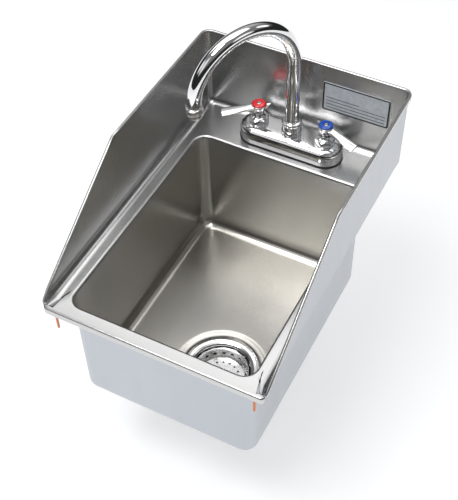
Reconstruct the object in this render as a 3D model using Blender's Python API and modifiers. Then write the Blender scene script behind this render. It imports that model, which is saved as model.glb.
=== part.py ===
"""Drop-in hand sink with back and side splashes, gooseneck faucet and basket strainer.

Metres, +Z up, +X to the right, +Y to the back. The origin is on the underside of the front rim,
at the middle of its width: that underside is the plane that rests on the counter.
"""

import math

import bmesh
import bpy
import numpy as np
from mathutils import Vector

GAP = 0.0003
MERGE = 0.00001
SHEET = 0.0015

# Sink: outside width and depth, and the front lip's outer face ahead of the origin
WIDTH = 0.3048
DEPTH = 0.4394
LIP_FACE_Y = -0.009
LIP_HEIGHT = 0.0115
SPLASH_HEIGHT = 0.1265
SPLASH_KINK = 0.193
NOSE_HEIGHT = 0.0043
COVE_RADIUS = 0.0085
HEM_OUT = 0.003
HEM_TALL = 0.004

# Bowl: its opening at the top of the wall, and its floor
BOWL_WIDTH = 0.2530
BOWL_LENGTH = 0.3438
FRONT_RIM = 0.0208
EDGE_ROLL = 0.0040
EDGE_FLAT = 0.0035
BOWL_CORNER = 0.018
BOWL_COVE = 0.013
FLOOR_Z = -0.180

# Drain
DRAIN_X = 0.027
DRAIN_Y = 0.117
RECESS_RADIUS = 0.067
SEAT_RADIUS = 0.060
SEAT_DROP = 0.003
DRAIN_HOLE = 0.045
FLANGE_RADIUS = 0.05715
STRAINER_THREAD = 0.0435
STRAINER_BORE = 0.041
STRAINER_DEPTH = 0.045
OUTLET_THREAD = 0.022
OUTLET_BORE = 0.018
TAILPIECE_RADIUS = 0.019
TAILPIECE_END_Z = -0.330

# Faucet: handle centres 4 inches apart
FAUCET_Y = 0.3935
HANDLE_X = 0.0508
BODY_HALF_LENGTH = 0.078
BODY_HALF_WIDTH = 0.0262
BODY_TOP_Z = 0.027
SHANK_RADIUS = 0.0102
HOLE_RADIUS = 0.012
BORE_RADIUS = 0.011
LEVER_LENGTH = 0.0545
HOT_LEVER_ANGLE = math.radians(217)
COLD_LEVER_ANGLE = math.radians(-21)

# Gooseneck
TUBE_RADIUS = 0.0095
TUBE_WALL = 0.0012
ARCH_RADIUS = 0.0783
ARCH_START_Z = 0.1488
TUBE_END_Z = 0.1455
SPOUT_ANGLE = math.radians(241.3)
AERATOR_END_Z = 0.1345

DECK_TOP = SHEET
BACK_Y = LIP_FACE_Y + DEPTH
TOP_Z = DECK_TOP + SPLASH_HEIGHT
BOWL_MIDDLE_Y = LIP_FACE_Y + FRONT_RIM + BOWL_LENGTH / 2
SEAT_Z = FLOOR_Z - SEAT_DROP
BOWL_UNDERSIDE_Z = SEAT_Z - SHEET


def clear_scene():
    for obj in list(bpy.data.objects):
        bpy.data.objects.remove(obj, do_unlink=True)


def new_collection(name):
    collection = bpy.data.collections.new(name)
    bpy.context.scene.collection.children.link(collection)
    return collection


def material(name, colour, roughness, metallic):
    made = bpy.data.materials.new(name)
    made.use_nodes = True
    shader = made.node_tree.nodes["Principled BSDF"]
    shader.inputs["Base Color"].default_value = (*colour, 1.0)
    shader.inputs["Roughness"].default_value = roughness
    shader.inputs["Metallic"].default_value = metallic
    return made


def add_object(name, mesh, place=(0, 0, 0), coat=None, collection=None):
    obj = bpy.data.objects.new(name, mesh)
    obj.location = place
    if coat:
        mesh.materials.append(coat)
    (collection or PARTS).objects.link(obj)
    return obj


def as_cutter(obj):
    PARTS.objects.unlink(obj)
    CUTTERS.objects.link(obj)
    obj.hide_render = True
    obj.display_type = "WIRE"
    return obj


def mesh_of(name, build):
    """A mesh filled by build(bm), with its normals pointing out."""
    shape = bmesh.new()
    build(shape)
    bmesh.ops.recalc_face_normals(shape, faces=shape.faces)
    mesh = bpy.data.meshes.new(name)
    shape.to_mesh(mesh)
    shape.free()
    return mesh


def block(name, low, high, coat=None, bevel=0.0, segments=3):
    """A box between two corners, with every edge rounded by bevel."""
    size = Vector(high) - Vector(low)
    centre = (Vector(high) + Vector(low)) / 2

    def build(shape):
        bmesh.ops.create_cube(shape, size=1.0)
        bmesh.ops.scale(shape, vec=size, verts=shape.verts)
        if bevel:
            bmesh.ops.bevel(
                shape, geom=shape.edges[:], offset=bevel, segments=segments, profile=0.5,
                affect="EDGES",
            )

    return add_object(name, mesh_of(name, build), centre, coat)


def cylinder(name, radius, low, high, place, coat=None, sides=24):
    """An upright cylinder, or a prism with few sides, from height low to height high."""

    def build(shape):
        bmesh.ops.create_cone(
            shape, cap_ends=True, segments=sides, radius1=radius, radius2=radius, depth=high - low
        )

    middle = (place[0], place[1], (low + high) / 2)
    return add_object(name, mesh_of(name, build), middle, coat)


def turned(name, profile, place, coat, sides=24, closed=True):
    """Spins (radius, height) points about Z. They run down the outer side, top to bottom."""
    mesh = bpy.data.meshes.new(name)
    count = len(profile)
    edges = [(k, k + 1) for k in range(count - 1)]
    if closed:
        edges.append((count - 1, 0))
    mesh.from_pydata([(radius, 0.0, height) for radius, height in profile], edges, [])
    obj = add_object(name, mesh, (place[0], place[1], 0.0), coat)
    screw = obj.modifiers.new("spin", "SCREW")
    screw.steps = sides
    screw.render_steps = sides
    screw.use_merge_vertices = True
    screw.merge_threshold = MERGE
    return obj


def tube_profile(inner, outer, low, high):
    return [(outer, high), (outer, low), (inner, low), (inner, high)]


def ring(name, inner, outer, low, high, place, coat, sides=24):
    return turned(name, tube_profile(inner, outer, low, high), place, coat, sides)


def circle(radius, height, centre, count, turn=0.0):
    angles = turn + np.arange(count) * 2 * math.pi / count
    return [(centre[0] + radius * math.cos(a), centre[1] + radius * math.sin(a), height) for a in angles]


def rounded_rectangle(half_x, half_y, radius, height, centre, straight=2, arc=5):
    """Points counterclockwise from the middle of the +X side, the same number in each quadrant."""
    points = []
    for quarter in range(4):
        sideways = quarter % 2
        along = half_x if sideways else half_y
        across = half_y if sideways else half_x
        run = along - radius
        local = [(across, run * k / straight) for k in range(straight)]
        for k in range(arc + 1):
            angle = math.pi / 2 * k / arc
            local.append((across - radius + radius * math.cos(angle), run + radius * math.sin(angle)))
        back_run = across - radius
        local += [(back_run * (1 - k / straight), along) for k in range(1, straight)]
        turn = quarter * math.pi / 2
        for x, y in local:
            points.append((
                centre[0] + x * math.cos(turn) - y * math.sin(turn),
                centre[1] + x * math.sin(turn) + y * math.cos(turn),
                height,
            ))
    return points


def lofted(name, rings, coat, capped=True, looped=False):
    """Joins rings of equally many points into one skin, capped at both ends or looped round."""
    count = len(rings[0])

    def build(shape):
        rows = [[shape.verts.new(point) for point in row] for row in rings]
        pairs = list(zip(rows, rows[1:]))
        if looped:
            pairs.append((rows[-1], rows[0]))
        for lower, upper in pairs:
            for k in range(count):
                after = (k + 1) % count
                shape.faces.new((lower[k], lower[after], upper[after], upper[k]))
        if capped:
            shape.faces.new(rows[0])
            shape.faces.new(rows[-1])

    return add_object(name, mesh_of(name, build), (0, 0, 0), coat)


def combine(obj, other, operation):
    """A Boolean of obj with another object, which becomes a hidden helper."""
    step = obj.modifiers.new(operation.lower() + "_" + other.name, "BOOLEAN")
    step.operation = operation
    step.solver = "EXACT"
    step.object = as_cutter(other)


def cut(obj, *cutters):
    for cutter in cutters:
        combine(obj, cutter, "DIFFERENCE")


def join(obj, *others):
    for other in others:
        combine(obj, other, "UNION")


def side_outline(grow):
    """The splash's side view as (y, z): nose, slope, level top and back, with room below."""
    below = -0.05
    nose_y = LIP_FACE_Y
    kink_y = LIP_FACE_Y + SPLASH_KINK
    return [
        (nose_y, below),
        (nose_y, DECK_TOP + NOSE_HEIGHT),
        (kink_y, TOP_Z),
        (BACK_Y + grow, TOP_Z),
        (BACK_Y + grow, below),
    ]


def trim_block():
    """A wide prism with the splash's side view: what lies inside it is kept."""
    wide = WIDTH

    def build(shape):
        rows = [
            [shape.verts.new((x, y, z)) for y, z in side_outline(0.02)] for x in (-wide, wide)
        ]
        shape.faces.new(rows[0])
        shape.faces.new(rows[1])
        count = len(rows[0])
        for k in range(count):
            after = (k + 1) % count
            shape.faces.new((rows[0][k], rows[0][after], rows[1][after], rows[1][k]))

    return add_object("splash_trim", mesh_of("splash_trim", build))


def slope_hem(name, side):
    """The folded edge along one sloped side: a bar from the nose to the kink."""
    start = Vector((0, LIP_FACE_Y, DECK_TOP + NOSE_HEIGHT))
    end = Vector((0, LIP_FACE_Y + SPLASH_KINK, TOP_Z))
    run = end - start
    inner = WIDTH / 2 - SHEET / 2
    outer = WIDTH / 2 + HEM_OUT
    bar = block(name, (0, -run.length / 2, -HEM_TALL), (outer - inner, run.length / 2, 0))
    bar.rotation_euler = (math.atan2(run.z, run.y), 0, 0)
    middle = (start + end) / 2
    lower = Vector((0, math.sin(bar.rotation_euler.x), -math.cos(bar.rotation_euler.x)))
    bar.location = middle + lower * (HEM_TALL / 2)
    bar.location.x = side * (inner + outer) / 2
    return bar


def deck_and_splash():
    """Deck, front lip, back and side splashes, folded from one sheet with wide inside bends."""
    half = WIDTH / 2
    front, above = LIP_FACE_Y - 0.06, TOP_Z + 0.06
    shell = block("deck_and_splash", (-half, front, 0), (half, BACK_Y, above), STEEL,
                  COVE_RADIUS + SHEET, 4)
    room = block("splash_room", (-half + SHEET, front + SHEET, SHEET),
                 (half - SHEET, BACK_Y - SHEET, above - SHEET), None, COVE_RADIUS, 4)
    cut(shell, room)
    combine(shell, trim_block(), "INTERSECT")
    lip = block("front_lip", (-half, LIP_FACE_Y, DECK_TOP - LIP_HEIGHT),
                (half, LIP_FACE_Y + SHEET, DECK_TOP - 0.0002))
    hem_low = TOP_Z - HEM_TALL
    kink_y = LIP_FACE_Y + SPLASH_KINK
    back_hem = block("back_hem", (-half - HEM_OUT, BACK_Y - SHEET / 2, hem_low),
                     (half + HEM_OUT, BACK_Y + HEM_OUT, TOP_Z))
    join(shell, lip, back_hem)
    for side, word in ((-1, "left"), (1, "right")):
        edges = sorted((side * (half - SHEET / 2), side * (half + HEM_OUT)))
        join(shell, block(word + "_hem", (edges[0], kink_y - 0.004, hem_low),
                          (edges[1], BACK_Y + 0.001, TOP_Z)))
        join(shell, slope_hem(word + "_slope_hem", side))
    edge = EDGE_ROLL + EDGE_FLAT + GAP
    opening = lofted("bowl_opening", [
        rounded_rectangle(BOWL_WIDTH / 2 + edge, BOWL_LENGTH / 2 + edge, BOWL_CORNER + edge, z,
                          (0, BOWL_MIDDLE_Y))
        for z in (-0.01, 0.01)
    ], None)
    cut(shell, opening)
    for side, word in ((-1, "hot"), (1, "cold")):
        cut(shell, cylinder(word + "_deck_hole", HOLE_RADIUS, -0.01, 0.01,
                            (side * HANDLE_X, FAUCET_Y), None, 20))
    return shell


def arc_rows(centre_inset, centre_z, radius, start, end, steps):
    """(inset, height) points on an arc, at angles measured from straight up."""
    return [
        (centre_inset + radius * math.sin(a), centre_z + radius * math.cos(a))
        for a in np.linspace(start, end, steps + 1)
    ]


def corner_radius(inset):
    """Concentric round the rolled edge, and easing to a smaller radius across the floor's cove."""
    return BOWL_CORNER - inset * (1.0 if inset < 0 else 0.8)


def sink_bowl():
    """Drawn bowl: rolled edge, straight walls, coved floor that falls to the drain recess."""
    quarter = math.pi / 2
    # Insets grow inwards from the wall line; the roll starts outside it.
    profile = [(-EDGE_ROLL - EDGE_FLAT, DECK_TOP)]
    profile += arc_rows(-EDGE_ROLL, DECK_TOP - EDGE_ROLL, EDGE_ROLL, 0, quarter, 3)
    profile += [
        (BOWL_COVE - BOWL_COVE * math.cos(a), FLOOR_Z + BOWL_COVE - BOWL_COVE * math.sin(a))
        for a in np.linspace(0, quarter, 5)
    ]
    middle = (0, BOWL_MIDDLE_Y)
    drain = (DRAIN_X, DRAIN_Y)
    rings = [
        rounded_rectangle(BOWL_WIDTH / 2 - inset, BOWL_LENGTH / 2 - inset, corner_radius(inset), height,
                          middle)
        for inset, height in profile
    ]
    count = len(rings[0])
    rings += [circle(radius, height, drain, count) for radius, height in (
        (RECESS_RADIUS, FLOOR_Z), (SEAT_RADIUS, SEAT_Z), (DRAIN_HOLE, SEAT_Z))]
    bowl = lofted("sink_bowl", rings, STEEL, capped=False)
    bowl.data.flip_normals()
    if bowl_normal_points_down(bowl):
        bowl.data.flip_normals()
    skin = bowl.modifiers.new("sheet", "SOLIDIFY")
    skin.thickness = SHEET
    skin.offset = -1.0
    skin.use_even_offset = True
    return bowl


def bowl_normal_points_down(bowl):
    """True when the seat round the drain faces down, which is the outside of the bowl."""
    lowest = min(bowl.data.polygons, key=lambda face: face.center.z)
    return lowest.normal.z < 0


def weld_studs():
    reach = 0.1377
    for word, x, y in (
        ("front_left", -reach, -0.0027), ("front_right", reach, -0.0027),
        ("rear_left", -reach, BACK_Y - 0.020), ("rear_right", reach, BACK_Y - 0.020),
    ):
        cylinder("weld_stud_" + word, 0.0017, -0.0395, -GAP, (x, y), COPPER, 12)


def nameplate():
    face_y = BACK_Y - SHEET - GAP
    plate = lofted("nameplate", [
        [(x, face_y - z, y) for x, y, z in
         rounded_rectangle(0.049, 0.024, 0.003, depth, (0.0785, 0.0774), 1, 3)]
        for depth in (0, 0.0008)
    ], PLATE)
    return plate


def faucet_body():
    place = (0, FAUCET_Y)
    gasket = lofted("faucet_base_gasket", [
        rounded_rectangle(BODY_HALF_LENGTH, BODY_HALF_WIDTH, BODY_HALF_WIDTH - 0.0001, z, place, 1, 7)
        for z in (DECK_TOP + GAP, 0.0033)
    ], RUBBER)
    top_round = 0.010
    rows = [(0.0, 0.0036), (0.0, BODY_TOP_Z - top_round)]
    rows += [
        (top_round - top_round * math.cos(a), BODY_TOP_Z - top_round + top_round * math.sin(a))
        for a in np.linspace(0, math.pi / 2, 5)[1:]
    ]
    inset_base = 0.0006
    body = lofted("faucet_body", [
        rounded_rectangle(BODY_HALF_LENGTH - inset_base - inset, BODY_HALF_WIDTH - inset_base - inset,
                          BODY_HALF_WIDTH - inset_base - inset - 0.0001, z, place, 1, 7)
        for inset, z in rows
    ], CHROME)
    for side, word in ((-1, "hot"), (1, "cold")):
        spot = (side * HANDLE_X, FAUCET_Y)
        cut(gasket, cylinder(word + "_gasket_hole", HOLE_RADIUS, 0, 0.01, spot, None, 20))
        cut(body, cylinder(word + "_body_bore", BORE_RADIUS, -0.01, 0.05, spot, None, 20))
    cut(body, cylinder("spout_body_bore", 0.0095, 0.012, 0.05, place, None, 20))


def valve(word, side, lever_angle, colour):
    """One tap: shank, washer, lock nut, cartridge, bonnet, spindle, lever, ring and screw."""
    spot = (side * HANDLE_X, FAUCET_Y)
    ring(word + "_shank", 0.0065, SHANK_RADIUS, -0.045, 0.012, spot, BRASS, 20)
    ring(word + "_shank_washer", 0.0106, 0.019, -0.0033, -GAP, spot, RUBBER, 20)
    nut = cylinder(word + "_locknut", 0.0195, -0.0116, -0.0036, spot, BRASS, 6)
    cut(nut, cylinder(word + "_locknut_bore", 0.0106, -0.02, 0.0, spot, None, 20))
    turned(word + "_cartridge", [
        (0.0106, 0.0270), (0.0106, 0.0126), (0.0055, 0.0126), (0.0055, 0.0210),
        (0.0043, 0.0210), (0.0043, 0.0270),
    ], spot, BRASS, 20)
    bonnet = cylinder(word + "_bonnet", 0.0140, BODY_TOP_Z + GAP, 0.0365, spot, CHROME, 6)
    join(bonnet, cylinder(word + "_bonnet_collar", 0.0095, 0.0360, 0.0425, spot, None, 20))
    cut(bonnet, cylinder(word + "_bonnet_bore", 0.0046, 0.02, 0.05, spot, None, 16))
    turned(word + "_spindle", [
        (0.0040, 0.0530), (0.0040, 0.0213), (0.0, 0.0213), (0.0, 0.0450), (0.0021, 0.0450),
        (0.0021, 0.0530),
    ], spot, BRASS, 16)
    lever_handle(word, side, lever_angle)
    turned(word + "_index_ring", [
        (0.0085, 0.0602), (0.0100, 0.0590), (0.0100, 0.0566), (0.0033, 0.0566), (0.0033, 0.0602),
    ], spot, colour, 24)
    turned(word + "_handle_screw", [
        (0.0, 0.0596), (0.0029, 0.0596), (0.0029, 0.0566), (0.0017, 0.0566), (0.0017, 0.0460),
        (0.0, 0.0460),
    ], spot, CHROME, 14, closed=False)


def lever_handle(word, side, angle):
    """Hub that widens upwards, a blade that widens to its tip, and a short tail behind it."""
    spot = (side * HANDLE_X, FAUCET_Y)
    hub = turned(word + "_handle", [
        (0.0, 0.0563), (0.0094, 0.0563), (0.0094, 0.0535), (0.0072, 0.0440), (0.0, 0.0440),
    ], spot, CHROME, 10, closed=False)

    def build(shape):
        bmesh.ops.create_cube(shape, size=1.0)
        for vert in shape.verts:
            at_tip = vert.co.x > 0
            along = LEVER_LENGTH if at_tip else -0.014
            half_width = 0.0072 if at_tip else 0.0035
            half_thick = 0.0015 if at_tip else 0.0022
            drop = 0.0030 if at_tip else 0.0
            vert.co = (along, math.copysign(half_width, vert.co.y),
                       0.0520 - drop + math.copysign(half_thick, vert.co.z))
        bmesh.ops.bevel(shape, geom=shape.edges[:], offset=0.0009, segments=1, profile=0.5,
                        affect="EDGES")

    blade = add_object(word + "_blade", mesh_of(word + "_blade", build), (*spot, 0))
    blade.rotation_euler = (0, 0, angle)
    join(hub, blade)
    cut(hub, cylinder(word + "_spindle_socket", 0.0043, 0.040, 0.0533, spot, None, 16))
    cut(hub, cylinder(word + "_screw_hole", 0.0021, 0.050, 0.060, spot, None, 12))


def spout_joint():
    """Fixed parts that hold the gooseneck and let it swivel."""
    spot = (0, FAUCET_Y)
    turned("spout_adapter", [
        (0.0110, 0.0405), (0.0110, 0.0335), (0.0150, 0.0330), (0.0150, BODY_TOP_Z + GAP),
        (0.0092, BODY_TOP_Z + GAP), (0.0092, 0.0126), (0.0068, 0.0126), (0.0068, 0.0290),
        (0.0098, 0.0290), (0.0098, 0.0405),
    ], spot, CHROME, 24)
    ring("spout_o_ring", 0.0098, 0.0109, 0.0408, 0.0428, spot, RUBBER, 20)
    turned("spout_nut", [
        (0.0120, 0.0480), (0.0143, 0.0460), (0.0143, 0.0338), (0.0113, 0.0338), (0.0113, 0.0431),
        (0.0098, 0.0431), (0.0098, 0.0480),
    ], spot, CHROME, 24)


def outlet_spot():
    reach = 2 * ARCH_RADIUS
    return (reach * math.cos(SPOUT_ANGLE), FAUCET_Y + reach * math.sin(SPOUT_ANGLE))


def spout_path():
    """The gooseneck's centre line: up the riser, over a half circle and a little way down."""
    outward = Vector((math.cos(SPOUT_ANGLE), math.sin(SPOUT_ANGLE), 0))
    base = Vector((0, FAUCET_Y, 0))
    points = [base + Vector((0, 0, z)) for z in (0.0294, 0.080)]
    for angle in np.linspace(0, math.pi, 17):
        reach = ARCH_RADIUS * (1 - math.cos(angle))
        height = ARCH_START_Z + ARCH_RADIUS * math.sin(angle)
        points.append(base + outward * reach + Vector((0, 0, height)))
    points.append(Vector((*outlet_spot(), TUBE_END_Z)))
    return points


def spout_tube():
    """The bent tube: rings across the centre line, open at both ends, with a wall thickness."""
    path = spout_path()
    across = Vector((-math.sin(SPOUT_ANGLE), math.cos(SPOUT_ANGLE), 0))
    rings = []
    for k, point in enumerate(path):
        before = path[max(k - 1, 0)]
        after = path[min(k + 1, len(path) - 1)]
        along = (after - before).normalized()
        other = along.cross(across).normalized()
        turns = np.arange(18) * 2 * math.pi / 18
        rings.append([
            tuple(point + across * (TUBE_RADIUS * math.cos(a)) + other * (TUBE_RADIUS * math.sin(a)))
            for a in turns
        ])
    tube = lofted("spout_tube", rings, CHROME, capped=False)
    wall = tube.modifiers.new("wall", "SOLIDIFY")
    wall.thickness = TUBE_WALL
    wall.offset = -1.0


def aerator():
    spot = outlet_spot()
    turned("aerator_housing", [
        (0.0108, 0.1500), (0.0118, 0.1490), (0.0118, 0.1430), (0.0104, 0.1422),
        (0.0104, 0.1355), (0.0098, AERATOR_END_Z), (0.0078, AERATOR_END_Z), (0.0078, 0.1358),
        (0.0088, 0.1358), (0.0088, 0.1452), (0.0098, 0.1452), (0.0098, 0.1500),
    ], spot, CHROME, 24)
    cylinder("aerator_screen", 0.0085, 0.1361, 0.1386, spot, PLASTIC, 20)
    ring("aerator_washer", 0.0060, 0.0085, 0.1389, 0.1408, spot, RUBBER, 20)


def strainer():
    """The fixed part of the drain, clamped through the bowl's floor."""
    spot = (DRAIN_X, DRAIN_Y)
    flange_low = SEAT_Z + GAP
    cup_floor = SEAT_Z - STRAINER_DEPTH
    outlet_end = cup_floor - 0.018
    wall = STRAINER_THREAD - STRAINER_BORE
    turned("strainer_body", [
        (FLANGE_RADIUS - 0.002, flange_low + 0.0026), (FLANGE_RADIUS, flange_low + 0.0010),
        (FLANGE_RADIUS, flange_low), (STRAINER_THREAD, flange_low),
        (STRAINER_THREAD, cup_floor), (OUTLET_THREAD, cup_floor - wall),
        (OUTLET_THREAD, outlet_end), (OUTLET_BORE, outlet_end),
        (OUTLET_BORE, cup_floor), (STRAINER_BORE - 0.004, cup_floor + 0.006),
        (STRAINER_BORE, cup_floor + 0.020), (STRAINER_BORE, flange_low - 0.004),
        (STRAINER_BORE + 0.004, flange_low + 0.0010),
    ], spot, CHROME, 32)
    top = BOWL_UNDERSIDE_Z - GAP
    ring("strainer_gasket", STRAINER_THREAD + GAP, 0.057, top - 0.003, top, spot, RUBBER, 28)
    top -= 0.003 + GAP
    ring("friction_washer", STRAINER_THREAD + GAP, 0.057, top - 0.001, top, spot, FIBRE, 28)
    top -= 0.001 + GAP
    lugged_nut("strainer_locknut", STRAINER_THREAD + GAP, 0.052, 0.0565, top - 0.010, top, spot)
    tail_top = outlet_end - GAP
    ring("tailpiece_washer", OUTLET_BORE, 0.0219, tail_top - 0.002, tail_top, spot, RUBBER, 24)
    lip_top = tail_top - 0.002 - GAP
    lip_low = lip_top - 0.0015
    turned("tailpiece", [
        (0.0219, lip_top), (0.0219, lip_low), (TAILPIECE_RADIUS, lip_low),
        (TAILPIECE_RADIUS, TAILPIECE_END_Z), (OUTLET_BORE, TAILPIECE_END_Z), (OUTLET_BORE, lip_top),
    ], spot, CHROME, 24)
    nut_low = lip_low - GAP - 0.003
    turned("tailpiece_nut", [
        (0.0265, outlet_end + 0.012), (0.0265, nut_low + 0.002), (0.0245, nut_low),
        (TAILPIECE_RADIUS + GAP, nut_low), (TAILPIECE_RADIUS + GAP, nut_low + 0.003),
        (OUTLET_THREAD + GAP, nut_low + 0.003), (OUTLET_THREAD + GAP, outlet_end + 0.012),
    ], spot, CHROME, 24)


def lugged_nut(name, inner, root, tip, low, high, spot):
    """A ring nut with square lugs round it for a spanner."""
    count = 48
    outer = []
    for k, (x, y, _) in enumerate(circle(1.0, 0, (0, 0), count)):
        radius = tip if k % 4 < 2 else root
        outer.append((spot[0] + radius * x, spot[1] + radius * y))
    bore = circle(inner, 0, spot, count)
    lofted(name, [
        [(x, y, high) for x, y in outer],
        [(x, y, low) for x, y in outer],
        [(x, y, low) for x, y, _ in bore],
        [(x, y, high) for x, y, _ in bore],
    ], BRASS, capped=False, looped=True)


def basket():
    """Lift-out basket: perforated cup, post with a knob, and the rubber stopper under it."""
    spot = (DRAIN_X, DRAIN_Y)
    rim = SEAT_Z - 0.0015
    floor = SEAT_Z - 0.0185
    skin = 0.001
    cup = turned("basket_cup", [
        (0.0400, rim), (0.0400, rim - 0.003), (0.0390, rim - 0.004), (0.0360, floor),
        (0.0042, floor), (0.0042, floor + skin), (0.0345, floor + skin), (0.0372, rim - 0.003),
        (0.0372, rim),
    ], spot, CHROME, 32)
    holes = 16
    for k in range(holes):
        angle = 2 * math.pi * (k + 0.19) / holes
        place = (spot[0] + 0.025 * math.cos(angle), spot[1] + 0.025 * math.sin(angle))
        cut(cup, cylinder(f"floor_hole_{k}", 0.0018, floor - 0.004, floor + 0.004, place, None, 8))
    turned("basket_post", [
        (0.0, rim - 0.0035), (0.0050, rim - 0.0042), (0.0070, rim - 0.0068),
        (0.0050, rim - 0.0100), (0.0032, rim - 0.0120), (0.0032, floor - 0.0105),
        (0.0, floor - 0.0105),
    ], spot, CHROME, 16, closed=False)
    turned("basket_stopper", [
        (0.0100, floor - 0.0010), (0.0230, floor - 0.0030), (0.0230, floor - 0.0060),
        (0.0120, floor - 0.0080), (0.0035, floor - 0.0080), (0.0035, floor - 0.0010),
    ], spot, RUBBER, 24)


clear_scene()
PARTS = new_collection("hand_sink")
CUTTERS = new_collection("cutters")
STEEL = material("brushed_steel", (0.62, 0.61, 0.60), 0.32, 1.0)
CHROME = material("chrome", (0.86, 0.86, 0.87), 0.08, 1.0)
BRASS = material("brass", (0.72, 0.56, 0.30), 0.35, 1.0)
COPPER = material("copper_flash", (0.72, 0.33, 0.20), 0.38, 1.0)
RUBBER = material("black_rubber", (0.02, 0.02, 0.02), 0.7, 0.0)
FIBRE = material("fibre", (0.55, 0.42, 0.28), 0.9, 0.0)
PLASTIC = material("white_plastic", (0.8, 0.8, 0.78), 0.5, 0.0)
PLATE = material("plate_silver", (0.72, 0.74, 0.76), 0.35, 1.0)
RED = material("index_red", (0.70, 0.02, 0.03), 0.3, 0.0)
BLUE = material("index_blue", (0.02, 0.10, 0.45), 0.3, 0.0)

deck_and_splash()
sink_bowl()
weld_studs()
nameplate()
faucet_body()
valve("hot", -1, HOT_LEVER_ANGLE, RED)
valve("cold", 1, COLD_LEVER_ANGLE, BLUE)
spout_joint()
spout_tube()
aerator()
strainer()
basket()
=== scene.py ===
"""The looks of a drop-in hand sink with splashes, gooseneck faucet and basket strainer.

Metres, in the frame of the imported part: +X right, +Y back, +Z up, origin under the front rim.
"""

import math

import bpy
import numpy as np
from mathutils import Matrix, Vector

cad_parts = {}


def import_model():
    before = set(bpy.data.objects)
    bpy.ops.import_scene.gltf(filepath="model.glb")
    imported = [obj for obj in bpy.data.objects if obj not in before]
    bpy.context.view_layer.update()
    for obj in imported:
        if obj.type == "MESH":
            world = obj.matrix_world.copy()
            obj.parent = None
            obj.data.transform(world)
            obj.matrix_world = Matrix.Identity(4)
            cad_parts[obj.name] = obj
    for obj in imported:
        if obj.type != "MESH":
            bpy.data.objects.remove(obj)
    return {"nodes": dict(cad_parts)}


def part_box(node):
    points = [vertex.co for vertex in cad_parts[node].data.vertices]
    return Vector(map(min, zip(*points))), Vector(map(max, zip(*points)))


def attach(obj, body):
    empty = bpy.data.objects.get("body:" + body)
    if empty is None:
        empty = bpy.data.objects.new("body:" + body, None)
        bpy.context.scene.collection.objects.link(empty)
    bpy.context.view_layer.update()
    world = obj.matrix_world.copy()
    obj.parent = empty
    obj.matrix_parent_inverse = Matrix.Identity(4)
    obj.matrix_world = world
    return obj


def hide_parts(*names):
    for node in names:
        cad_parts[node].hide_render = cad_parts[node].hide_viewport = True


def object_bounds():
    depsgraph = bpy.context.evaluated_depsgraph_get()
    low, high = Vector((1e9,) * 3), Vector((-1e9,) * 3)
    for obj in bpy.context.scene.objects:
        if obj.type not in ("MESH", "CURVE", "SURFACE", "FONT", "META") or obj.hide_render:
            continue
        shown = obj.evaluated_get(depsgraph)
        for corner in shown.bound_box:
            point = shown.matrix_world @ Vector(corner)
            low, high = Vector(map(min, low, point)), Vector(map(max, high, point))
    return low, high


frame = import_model()
cad_low, cad_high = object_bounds()

# Sink, as in the part
SHEET = 0.0015
DECK_TOP = SHEET
WIDTH = 0.3048
LIP_FACE_Y = -0.009
LIP_HEIGHT = 0.0115
BACK_Y = LIP_FACE_Y + 0.4394
TOP_Z = DECK_TOP + 0.1265
KINK_Y = LIP_FACE_Y + 0.193
NOSE_Z = DECK_TOP + 0.0043
BOWL_WIDTH = 0.2530
BOWL_LENGTH = 0.3438
FRONT_RIM = 0.0208
BOWL_MIDDLE_Y = LIP_FACE_Y + FRONT_RIM + BOWL_LENGTH / 2
EDGE_ROLL = 0.0040
EDGE_FLAT = 0.0035
BOWL_CORNER = 0.018
BOWL_COVE = 0.013
FLOOR_Z = -0.180

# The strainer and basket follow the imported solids
FLANGE_LOW, FLANGE_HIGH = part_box("strainer_body")
DRAIN = ((FLANGE_LOW[0] + FLANGE_HIGH[0]) / 2, (FLANGE_LOW[1] + FLANGE_HIGH[1]) / 2)
FLANGE_RADIUS = (FLANGE_HIGH[0] - FLANGE_LOW[0]) / 2
SEAT_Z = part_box("strainer_gasket")[1][2] + 0.0003 + SHEET
RECESS_RADIUS = 0.067
SEAT_RADIUS = 0.059
DRAIN_HOLE = 0.045

# Faucet
FAUCET_LOW, FAUCET_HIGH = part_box("faucet_body")
FAUCET_Y = (FAUCET_LOW[1] + FAUCET_HIGH[1]) / 2
HANDLE_X = 0.0508
BODY_HALF_LENGTH = (FAUCET_HIGH[0] - FAUCET_LOW[0]) / 2
BODY_HALF_WIDTH = (FAUCET_HIGH[1] - FAUCET_LOW[1]) / 2
BODY_TOP_Z = FAUCET_HIGH[2]
HOT_ANGLE = math.radians(217)
COLD_ANGLE = math.radians(-21)
SPOUT_ANGLE = math.radians(241.3)
ARCH_RADIUS = 0.0783
ARCH_START_Z = 0.1488
TUBE_RADIUS = 0.0095
TUBE_WALL = 0.0012

# Camera: the direction it looks from, its distance from a point on the deck, and its framing
CAMERA_AZIMUTH = math.radians(27.378)
CAMERA_ELEVATION = math.radians(49.202)
CAMERA_ROLL = math.radians(-0.723)
CAMERA_DISTANCE = 1.2820
CAMERA_TARGET = (0.0292, 0.1756, DECK_TOP)
CAMERA_LENS = 71.718
CAMERA_SHIFT = (-0.0224, 0.0103)

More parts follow.
